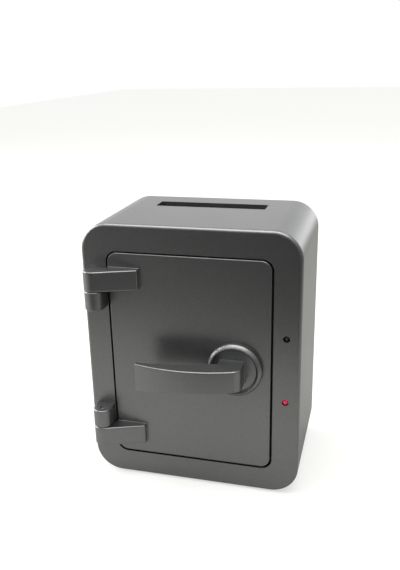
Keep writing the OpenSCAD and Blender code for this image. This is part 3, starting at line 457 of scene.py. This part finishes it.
def sleeve_surface(name, low, high, shades, upright):
    """A foil sleeve along Z between two heights, with a band of the second shade towards one end."""
    _, tree, shader = start_material(name)
    place = object_place(tree)
    split = add_node(tree, "ShaderNodeSeparateXYZ")
    tree.links.new(place, split.inputs[0])
    share = add_node(tree, "ShaderNodeMapRange", {"From Min": low, "From Max": high})
    tree.links.new(split.outputs["Z"], share.inputs["Value"])
    along = share.outputs[0] if upright else maths(tree, "SUBTRACT", 1.0, share.outputs[0])
    band = maths(tree, "GREATER_THAN", along, BAND_START)
    bare = maths(tree, "GREATER_THAN", along, BARE_START)
    cloud = noise(tree, place, scale=380)
    wrapped = blend_colours(tree, band, *shades)
    shaded = blend_colours(tree, maths(tree, "MULTIPLY", cloud, 0.25), wrapped, (0, 0, 0))
    tree.links.new(blend_colours(tree, bare, shaded, TINNED), shader.inputs["Base Color"])
    tree.links.new(maths(tree, "MULTIPLY", bare, 0.9), shader.inputs["Metallic"])
    set_roughness(tree, shader, cloud, least=0.25, spread=0.1)


def lamp_surface(name, node, colour, glow):
    """The lens of the lamp at that node, brighter towards the middle of its dome where it is lit."""
    _, tree, shader = start_material(name)
    place = object_place(tree)
    low, high, middle = limits(node)
    apart = add_node(tree, "ShaderNodeVectorMath", {1: (middle.x, low.y, middle.z)}, operation="DISTANCE")
    tree.links.new(place, apart.inputs[0])
    away = add_node(tree, "ShaderNodeMapRange", {"From Min": 0.0, "From Max": (high.x - low.x) / 2})
    tree.links.new(apart.outputs["Value"], away.inputs["Value"])
    cloud = noise(tree, place, scale=900)
    deep = tuple(LENS_RIM * part for part in colour)
    tree.links.new(blend_colours(tree, cloud, deep, colour), shader.inputs["Base Color"])
    set_roughness(tree, shader, cloud, least=0.1, spread=0.06)
    if glow > 0:
        tree.links.new(blend_colours(tree, away.outputs[0], colour, deep), shader.inputs["Emission Color"])
        shader.inputs["Emission Strength"].default_value = glow
    shader.inputs["Coat Weight"].default_value = 0.5
    shader.inputs["Coat Roughness"].default_value = 0.05


# modelling tools


def put_down():
    """Back to object mode with nothing selected."""
    if bpy.context.object and bpy.context.object.mode != "OBJECT":
        bpy.ops.object.mode_set(mode="OBJECT")
    bpy.ops.object.select_all(action="DESELECT")


def take(obj):
    """Selects only this object and makes it the active one."""
    put_down()
    obj.select_set(True)
    bpy.context.view_layer.objects.active = obj


def named(name):
    """The object just added, with its place in its mesh."""
    obj = bpy.context.object
    bpy.ops.object.transform_apply(location=True, rotation=True, scale=True)
    obj.name = name
    obj.data.name = name
    return obj


def block(name, low, high):
    """A box by two opposite corners."""
    put_down()
    low, high = Vector(low), Vector(high)
    bpy.ops.mesh.primitive_cube_add(size=1, location=(low + high) / 2, scale=high - low)
    return named(name)


def drum(name, centre, radius, length, turn=(0, 0, 0), steps=None):
    """A round bar, standing along Z unless it is turned."""
    put_down()
    steps = steps or bpy.context.scene.safe_shape.round_steps
    bpy.ops.mesh.primitive_cylinder_add(
        vertices=steps, radius=radius, depth=length, location=centre, rotation=turn)
    return named(name)


def pick(obj, kind, test):
    """Selects the vertices, edges or faces that pass test, and opens obj in edit mode."""
    take(obj)
    mesh = obj.data
    for item in (*mesh.vertices, *mesh.edges, *mesh.polygons):
        item.select = False
    items = {"VERT": mesh.vertices, "EDGE": mesh.edges, "FACE": mesh.polygons}[kind]
    for item in items:
        item.select = bool(test(item))
    bpy.context.tool_settings.mesh_select_mode = (kind == "VERT", kind == "EDGE", kind == "FACE")
    bpy.ops.object.mode_set(mode="EDIT")


def ends(obj, edge):
    """Places of the two ends of an edge."""
    return [obj.data.vertices[index].co for index in edge.vertices]


def close():
    """Leaves edit mode."""
    bpy.ops.object.mode_set(mode="OBJECT")


def apply_modifier(obj, kind, **settings):
    """Adds a modifier and applies it."""
    take(obj)
    made = obj.modifiers.new(kind.title(), kind)
    for key, value in settings.items():
        setattr(made, key, value)
    bpy.ops.object.modifier_apply(modifier=made.name)


def merge_into(obj, other, operation="UNION"):
    """Joins the other solid to obj, or cuts it away, and removes it."""
    apply_modifier(obj, "BOOLEAN", operation=operation, object=other, solver="EXACT")
    bpy.data.objects.remove(other)


def shade(obj, angle=38, flat=False):
    """Smooth shading up to an angle; with flat, the large faces keep their own direction to the rim."""
    take(obj)
    bpy.ops.object.shade_smooth_by_angle(angle=math.radians(angle))
    if flat:
        apply_modifier(obj, "WEIGHTED_NORMAL", keep_sharp=True)


def round_edges(obj, width, test, segments=3):
    """Rounds the edges whose two ends pass test."""
    pick(obj, "EDGE", lambda edge: test(*ends(obj, edge)))
    bpy.ops.mesh.bevel(offset=width, segments=segments, affect="EDGES", clamp_overlap=False)
    close()


def looks_down(face):
    """Test for faces that point down."""
    return face.normal.z < -0.9


def lies_level(a, b):
    """Test for edges that lie level, such as both rims of an upright drum."""
    return abs(a.z - b.z) < TOUCH


def any_edge(a, b):
    """Test that every edge passes."""
    return True


def finish_piece(obj, body, node, material):
    """Paints the piece, rides it on its body and hides the node that it stands for, if any."""
    obj.data.materials.clear()
    obj.data.materials.append(bpy.data.materials[material])
    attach(obj, body)
    if node:
        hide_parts(node)
    put_down()


def dress(material, *nodes):
    """Gives CAD nodes a material."""
    for name in nodes:
        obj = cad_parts[name]
        if not obj.data.materials:
            obj.data.materials.append(None)
        for index in range(len(obj.data.materials)):
            obj.data.materials[index] = bpy.data.materials[material]


# operators


class SAFE_OT_finishes(bpy.types.Operator):
    """Builds the node groups and the materials"""

    bl_idname = "safe.finishes"
    bl_label = "Build finishes"

    def execute(self, context):
        finish = context.scene.safe_finish
        make_flake_group()
        make_mould_group()
        make_brushed_group()
        paint_surface(finish)
        black_surface(finish, "moulded_black", grain=1800.0, sheen=0.52, relief=0.03 * MM)
        black_surface(finish, "chip_black", grain=3200.0, sheen=0.45, relief=0.01 * MM)
        black_surface(finish, "coil_tape", grain=700.0, sheen=0.4, relief=0.06 * MM)
        steel_surface(finish, "plated_steel", along_x=0.06, along_z=1.0, sheen=0.28)
        steel_surface(finish, "turned_steel", along_x=1.0, along_z=0.05, sheen=0.24)
        clear_surface()
        board_surface()
        rubber_surface()
        pale_surface()
        lamp_surface("lamp_unlit", "upper_lamp", DARK_LENS, glow=0)
        lamp_surface("lamp_red", "lower_lamp", tuple(finish.lamp), finish.lamp_glow)
        return {"FINISHED"}


class SAFE_OT_case(bpy.types.Operator):
    """Paints the case, its rear cover, the battery cover and their screws"""

    bl_idname = "safe.case"
    bl_label = "Case"

    def execute(self, context):
        dress("satin_paint", "outer_shell", "rear_cover", "battery_cover")
        dress("plated_steel", "rear_cover_screws", "battery_cover_screw")
        return {"FINISHED"}


class SAFE_OT_feet(bpy.types.Operator):
    """Models the four rubber feet with a softened edge and a moulded ring"""

    bl_idname = "safe.feet"
    bl_label = "Feet"

    def execute(self, context):
        for name in ("foot_front_left", "foot_front_right", "foot_rear_left", "foot_rear_right"):
            low, high, middle = limits(name)
            radius = (high.x - low.x) / 2
            foot = drum(name + "_rubber", middle, radius, high.z - low.z, steps=SMALL_STEPS)
            pick(foot, "FACE", looks_down)
            bpy.ops.mesh.bevel(offset=FOOT_ROUND, segments=3)
            close()
            pick(foot, "FACE", lambda face: looks_down(face) and face.area > WIDE_FACE)
            bpy.ops.mesh.inset(thickness=radius * FOOT_RING_INSET)
            bpy.ops.mesh.inset(thickness=radius * FOOT_RING_WIDTH)
            bpy.ops.transform.translate(value=(0, 0, FOOT_RING_DEPTH))
            close()
            shade(foot)
            finish_piece(foot, "case", name, "foot_rubber")
        return {"FINISHED"}


class SAFE_OT_door(bpy.types.Operator):
    """Paints the door and the pieces behind it"""

    bl_idname = "safe.door"
    bl_label = "Door"

    def execute(self, context):
        dress("satin_paint", "door_panel")
        dress("moulded_black", "door_tray")
        dress("pale_plastic", "guide_inner", "guide_outer")
        dress("plated_steel", "tray_screws", "guide_screws", "strap_screws", "lock_bolt", "lever_crank",
              "crank_screw")
        dress("turned_steel", "lever_spindle")
        return {"FINISHED"}


class SAFE_OT_hinges(bpy.types.Operator):
    """Models both hinges: a tapering strap on the door, a knuckle on the case and a domed pin for each"""

    bl_idname = "safe.hinges"
    bl_label = "Hinges"

    def strap_arm(self, node, axis, radius, edge_round):
        """The arm, whose front runs from the barrel's curve back to the thin free end."""
        low, high, middle = limits(node)
        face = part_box("door_panel")[0].y
        front = face - MM
        arm = block(node + "_arm", (axis.x + ARM_START, low.y, low.z), (high.x, face, high.z))
        pick(arm, "VERT", lambda v: v.co.x > middle.x and v.co.y < front)
        bpy.ops.transform.translate(value=(0, face - STRAP_TIP - low.y, 0))
        close()
        across, back = high.x - axis.x, face - STRAP_TIP - axis.y
        slope = math.atan2(back, across) - math.acos(radius / math.hypot(across, back))
        touch = axis + Vector((math.cos(slope), math.sin(slope), 0)) * radius * ARM_TOUCH
        pick(arm, "VERT", lambda v: v.co.x < middle.x and v.co.y < front)
        bpy.ops.transform.translate(value=(touch.x - axis.x - ARM_START, touch.y - low.y, 0))
        close()
        rear = axis.y + radius - ARM_INSET
        pick(arm, "VERT", lambda v: v.co.x < middle.x and v.co.y > front)
        bpy.ops.transform.translate(value=(0, rear - face, 0))
        close()
        # the barrel's end of the arm stays sharp, because it lies inside the barrel
        round_edges(arm, edge_round, lambda a, b: max(a.x, b.x) > middle.x and min(a.y, b.y) < front)
        return arm, rear

    def strap(self, node, shape):
        """Barrel, arm and thin foot of one strap in one solid."""
        low, high, middle = limits(node)
        radius = (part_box("upper_knuckle")[1].x - low.x) / 2
        axis = Vector((low.x + radius, low.y + radius, middle.z))
        door_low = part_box("door_panel")[0]
        face, edge = door_low.y, door_low.x - EDGE_GAP
        arm, rear = self.strap_arm(node, axis, radius, shape.edge)
        relief = block(node + "_relief", (low.x - MM, rear, low.z - MM), (edge, face + MM, high.z + MM))
        merge_into(arm, relief, "DIFFERENCE")
        barrel = drum(node + "_barrel", axis, radius, high.z - low.z)
        round_edges(barrel, shape.edge, lies_level)
        merge_into(barrel, arm)
        step = shape.foot_step
        foot = block(node + "_foot", (edge + 2 * EDGE_GAP, face - step, low.z - step),
                     (high.x + step, face, high.z + step))
        round_edges(foot, step / 2, any_edge)
        merge_into(barrel, foot)
        shade(barrel, flat=True)
        barrel.name = node + "_rounded"
        return barrel

    def knuckle(self, node, up, shape):
        """Barrel and web of one knuckle in one solid, open to the pin at one end."""
        low, high, middle = limits(node)
        radius = (high.x - low.x) / 2
        axis = Vector((middle.x, low.y + radius, middle.z))
        barrel = drum(node + "_barrel", axis, radius, high.z - low.z)
        round_edges(barrel, shape.edge, lies_level)
        web = block(node + "_web", (low.x + WEB_INSET, axis.y, low.z), (high.x - WEB_INSET, high.y, high.z))
        round_edges(web, shape.edge, lambda a, b: abs(a.y - b.y) > MM)
        merge_into(barrel, web)
        end = high.z if up else low.z
        bore = drum(node + "_bore", (axis.x, axis.y, end), BORE_RADIUS, BORE_LENGTH, steps=SMALL_STEPS)
        merge_into(barrel, bore, "DIFFERENCE")
        shade(barrel, flat=True)
        barrel.name = node + "_rounded"
        return barrel

    def execute(self, context):
        shape = context.scene.safe_shape
        for node in ("upper_strap", "lower_strap"):
            finish_piece(self.strap(node, shape), "door", node, "satin_paint")
        for node, up in (("upper_knuckle", False), ("lower_knuckle", True)):
            finish_piece(self.knuckle(node, up, shape), "case", node, "satin_paint")
        for node in ("upper_hinge_pin", "lower_hinge_pin"):
            low, high, middle = limits(node)
            width = high.x - low.x
            pin = drum(node + "_domed", middle, width / 2, high.z - low.z, steps=PIN_STEPS)
            pick(pin, "FACE", lambda face: abs(face.normal.z) > 0.9)
            bpy.ops.mesh.bevel(offset=width * PIN_DOME, segments=6)
            close()
            shade(pin, angle=60)
            finish_piece(pin, "case", node, "turned_steel")
        dress("plated_steel", "knuckle_screws")
        return {"FINISHED"}


class SAFE_OT_plate(bpy.types.Operator):
    """Models the round plate behind the lever: a rounded rim round a shallow dish"""

    bl_idname = "safe.plate"
    bl_label = "Round plate"

    def execute(self, context):
        shape = context.scene.safe_shape
        low, high, middle = limits("round_plate")
        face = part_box("door_panel")[0].y
        radius = (high.x - low.x) / 2
        centre = Vector((middle.x, (low.y + face) / 2, middle.z))
        plate = drum("round_plate_turned", centre, radius, face - low.y, (math.radians(90), 0, 0))

        def at_front(reach):
            """Test for edges that lie on a circle of that radius at the front."""
            def on_circle(point):
                out = math.hypot(point.x - middle.x, point.z - middle.z)
                return abs(point.y - low.y) < 10 * TOUCH and abs(out - reach) < 20 * TOUCH
            return lambda edge: all(on_circle(point) for point in ends(plate, edge))

        pick(plate, "EDGE", at_front(radius))
        bpy.ops.mesh.bevel(offset=shape.rim_round, segments=RIM_SEGMENTS, profile=RIM_PROFILE)
        close()
        pick(plate, "FACE", lambda f: f.normal.y < -0.999 and f.area > WIDE_FACE)
        bpy.ops.mesh.inset(thickness=shape.rim_drop * LIP_SHARE)
        bpy.ops.transform.translate(value=(0, shape.rim_drop, 0))
        close()
        pick(plate, "EDGE", at_front(radius - shape.rim_round))
        bpy.ops.mesh.bevel(offset=CREST_ROUND, segments=4, profile=0.5)
        close()
        shade(plate, angle=45, flat=True)
        finish_piece(plate, "door", "round_plate", "satin_paint")
        return {"FINISHED"}


class SAFE_OT_lever(bpy.types.Operator):
    """Paints the lever and models the thin collar round its root"""

    bl_idname = "safe.lever"
    bl_label = "Lever"

    def execute(self, context):
        step = context.scene.safe_shape.foot_step
        dress("satin_paint", "lever_handle")
        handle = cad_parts["lever_handle"]
        points = [handle.matrix_world @ v.co for v in handle.data.vertices]
        back = max(p.y for p in points)
        root = [p for p in points if p.y > back - ROOT_DEPTH]
        low = (min(p.x for p in root) - step, back - 2 * step, min(p.z for p in root) - step)
        high = (max(p.x for p in root) + step, back, max(p.z for p in root) + step)
        collar = block("lever_collar", low, high)
        round_edges(collar, step, lambda a, b: min(a.y, b.y) < back - step, segments=2)
        shade(collar, flat=True)
        finish_piece(collar, "lever", None, "satin_paint")
        return {"FINISHED"}


class SAFE_OT_lamps(bpy.types.Operator):
    """Models the two domed lamps in the right-hand frame"""

    bl_idname = "safe.lamps"
    bl_label = "Lamps"

    def execute(self, context):
        radius = context.scene.safe_shape.lamp_radius
        for node, material in (("upper_lamp", "lamp_unlit"), ("lower_lamp", "lamp_red")):
            low, _, middle = limits(node)
            waist = low.y + radius
            put_down()
            bpy.ops.mesh.primitive_uv_sphere_add(
                segments=32, ring_count=16, radius=radius, location=(middle.x, waist, middle.z),
                rotation=(math.radians(90), 0, 0))
            lamp = named(node + "_lens")
            pick(lamp, "VERT", lambda v: v.co.y > waist + TOUCH)
            bpy.ops.mesh.delete(type="VERT")
            close()
            pick(lamp, "EDGE", lambda e: all(abs(p.y - waist) < TOUCH for p in ends(lamp, e)))
            bpy.ops.mesh.extrude_region_move(TRANSFORM_OT_translate={"value": (0, LENS_LENGTH - radius, 0)})
            bpy.ops.mesh.extrude_region_move()
            bpy.ops.transform.resize(
                value=(FLANGE_GROWTH, 1, FLANGE_GROWTH), center_override=(middle.x, 0, middle.z))
            bpy.ops.mesh.extrude_region_move(TRANSFORM_OT_translate={"value": (0, FLANGE_THICK, 0)})
            bpy.ops.mesh.edge_face_add()
            close()
            shade(lamp)
            finish_piece(lamp, "case", node, material)
        return {"FINISHED"}


class SAFE_OT_inside(bpy.types.Operator):
    """Gives every inner piece its finish"""

    bl_idname = "safe.inside"
    bl_label = "Inner pieces"

    def execute(self, context):
        dress("moulded_black", "inner_liner", "liner_tub", "phone_pocket", "battery_tray", "power_switch")
        dress("plated_steel", "liner_screws", "pocket_screws", "sensor_screws", "board_screws",
              "battery_contacts", "bolt_keeper", "keeper_screws", "solenoid_frame", "solenoid_screws")
        dress("turned_steel", "solenoid_plunger")
        dress("coil_tape", "solenoid_coil")
        dress("clear_plastic", "sensor_window", "light_sensor")
        dress("circuit_board", "sensor_board", "main_board", "lamp_boards")
        dress("chip_black", "board_chips")
        dress("pale_plastic", "board_connectors", "switch_knob")
        low, high, _ = limits("board_capacitors")
        sleeve_surface("capacitor_sleeve", low.z, high.z, CAPACITOR_SHADES, upright=True)
        dress("capacitor_sleeve", "board_capacitors")
        for index, upright in ((1, True), (2, False), (3, True), (4, False)):
            low, high, _ = limits(f"battery_{index}")
            sleeve_surface(f"cell_wrap_{index}", low.z, high.z, CELL_SHADES, upright)
            dress(f"cell_wrap_{index}", f"battery_{index}")
        return {"FINISHED"}


class SAFE_OT_stage(bpy.types.Operator):
    """Sets up the pale floor and backdrop, the soft lamps and the camera"""

    bl_idname = "safe.stage"
    bl_label = "Stage"

    def shown(self, tree):
        """A mask of what the camera sees, straight or through clear pieces, and one of mirrored rays."""
        ray = add_node(tree, "ShaderNodeLightPath")
        straight = maths(tree, "MAXIMUM", ray.outputs["Is Camera Ray"], ray.outputs["Is Transmission Ray"])
        return straight, ray.outputs["Is Glossy Ray"]

    def backdrop(self):
        """A pale sheet under the safe that ends a little in front of it."""
        put_down()
        bpy.ops.mesh.primitive_plane_add(size=1, location=(0, (SHEET_FRONT + SHEET_BACK) / 2, 0))
        bpy.context.object.scale = (SHEET_WIDTH, SHEET_BACK - SHEET_FRONT, 1)
        sheet = named("backdrop")
        # the near edge runs askew, so the left of the door mirrors more of the sheet than the right
        for vertex in sheet.data.vertices:
            if vertex.co.y < 0:
                vertex.co.y += SHEET_SLANT * vertex.co.x
        material, tree, shader = start_material("backdrop_white")
        tree.nodes.remove(shader)
        plain = add_node(tree, "ShaderNodeBsdfDiffuse", {"Color": SHEET_COLOUR})
        glow = add_node(tree, "ShaderNodeEmission", {"Color": (1, 1, 1, 1)})
        straight, mirrored = self.shown(tree)
        tree.links.new(weighed(tree, straight, SHEET_GLOW, mirrored, SHEET_GLOSS), glow.inputs["Strength"])
        both = add_node(tree, "ShaderNodeAddShader")
        tree.links.new(plain.outputs[0], both.inputs[0])
        tree.links.new(glow.outputs[0], both.inputs[1])
        end = next(n for n in tree.nodes if n.type == "OUTPUT_MATERIAL")
        tree.links.new(both.outputs[0], end.inputs["Surface"])
        sheet.data.materials.append(material)

    def room(self, scene):
        """A room that is bright above and behind the safe and dim in front, and white to the camera."""
        world = bpy.data.worlds.new("studio")
        scene.world = world
        world.use_nodes = True
        tree = world.node_tree
        tree.nodes.clear()
        split = add_node(tree, "ShaderNodeSeparateXYZ")
        tree.links.new(add_node(tree, "ShaderNodeTexCoord").outputs["Generated"], split.inputs[0])
        across, along, height = split.outputs
        raised = maths(tree, "POWER", maths(tree, "MAXIMUM", height, 0.0), ROOM_CURVE)
        above = maths(tree, "MULTIPLY", raised, ROOM_ABOVE)
        faded = maths(tree, "SUBTRACT", 1.0, maths(tree, "MULTIPLY", height, ROOM_FADE))
        behind = maths(tree, "MULTIPLY", along, maths(tree, "MULTIPLY", faded, ROOM_BEHIND))
        beside = maths(tree, "MULTIPLY", maths(tree, "ABSOLUTE", across), ROOM_BESIDE)
        level = add_node(tree, "ShaderNodeClamp", {"Min": 0.0, "Max": ROOM_BEHIND})
        brightest = maths(tree, "MAXIMUM", maths(tree, "MAXIMUM", above, behind), beside)
        tree.links.new(brightest, level.inputs["Value"])
        straight, _ = self.shown(tree)
        strength = add_node(tree, "ShaderNodeMix", {3: 1.0}, data_type="FLOAT")
        tree.links.new(straight, strength.inputs[0])
        tree.links.new(level.outputs[0], strength.inputs[2])
        back = add_node(tree, "ShaderNodeBackground", {"Color": (1, 1, 1, 1)})
        tree.links.new(strength.outputs[0], back.inputs["Strength"])
        end = add_node(tree, "ShaderNodeOutputWorld")
        tree.links.new(back.outputs[0], end.inputs[0])

    def soft_lamp(self, name, place, aim, size, power):
        """A rectangular area lamp that points at its aim."""
        put_down()
        bpy.ops.object.light_add(type="AREA", location=place)
        lamp = bpy.context.object
        lamp.name = name
        lamp.data.shape = "RECTANGLE"
        lamp.data.size, lamp.data.size_y = size
        lamp.data.energy = power
        lamp.rotation_euler = (Vector(aim) - Vector(place)).to_track_quat("-Z", "Y").to_euler()

    def camera(self, scene):
        """The photograph's view, turned a little about its own axis."""
        put_down()
        place, aim = Vector(CAMERA_PLACE), Vector(CAMERA_AIM)
        bpy.ops.object.camera_add(location=place)
        camera = bpy.context.object
        camera.name = "camera"
        turn = (aim - place).to_track_quat("-Z", "Y").to_matrix()
        right, up = turn.col[0].copy(), turn.col[1].copy()
        turn.col[0] = right * math.cos(CAMERA_ROLL) + up * math.sin(CAMERA_ROLL)
        turn.col[1] = up * math.cos(CAMERA_ROLL) - right * math.sin(CAMERA_ROLL)
        camera.rotation_euler = turn.to_euler()
        camera.data.lens = CAMERA_LENS
        camera.data.sensor_width = CAMERA_SENSOR
        camera.data.clip_start = 0.01
        camera.data.clip_end = 20
        scene.camera = camera

    def execute(self, context):
        scene = context.scene
        scene.view_settings.view_transform = "Standard"
        self.backdrop()
        self.room(scene)
        for lamp in SOFT_LAMPS:
            self.soft_lamp(*lamp)
        self.camera(scene)
        return {"FINISHED"}


class SAFE_PT_panel(bpy.types.Panel):
    """Lists the settings, and the pieces in the order in which they are made"""

    bl_idname = "SAFE_PT_panel"
    bl_label = "Smart Safe"
    bl_space_type = "VIEW_3D"
    bl_region_type = "UI"
    bl_category = "Safe"

    def draw(self, context):
        layout = self.layout
        for group in (context.scene.safe_shape, context.scene.safe_finish):
            column = layout.column(align=True)
            for name in group.__class__.__annotations__:
                column.prop(group, name)
        for operator in STEPS:
            layout.operator(operator.bl_idname)


STEPS = (SAFE_OT_finishes, SAFE_OT_case, SAFE_OT_feet, SAFE_OT_door, SAFE_OT_hinges, SAFE_OT_plate,
         SAFE_OT_lever, SAFE_OT_lamps, SAFE_OT_inside, SAFE_OT_stage)
CLASSES = (SafeShape, SafeFinish, *STEPS, SAFE_PT_panel)


def register():
    for item in CLASSES:
        bpy.utils.register_class(item)
    bpy.types.Scene.safe_shape = bpy.props.PointerProperty(type=SafeShape)
    bpy.types.Scene.safe_finish = bpy.props.PointerProperty(type=SafeFinish)


def unregister():
    del bpy.types.Scene.safe_finish
    del bpy.types.Scene.safe_shape
    for item in reversed(CLASSES):
        bpy.utils.unregister_class(item)


def main():
    """Makes every piece in order."""
    register()
    for operator in STEPS:
        family, name = operator.bl_idname.split(".")
        getattr(getattr(bpy.ops, family), name)()


if __name__ == "__main__":
    main()
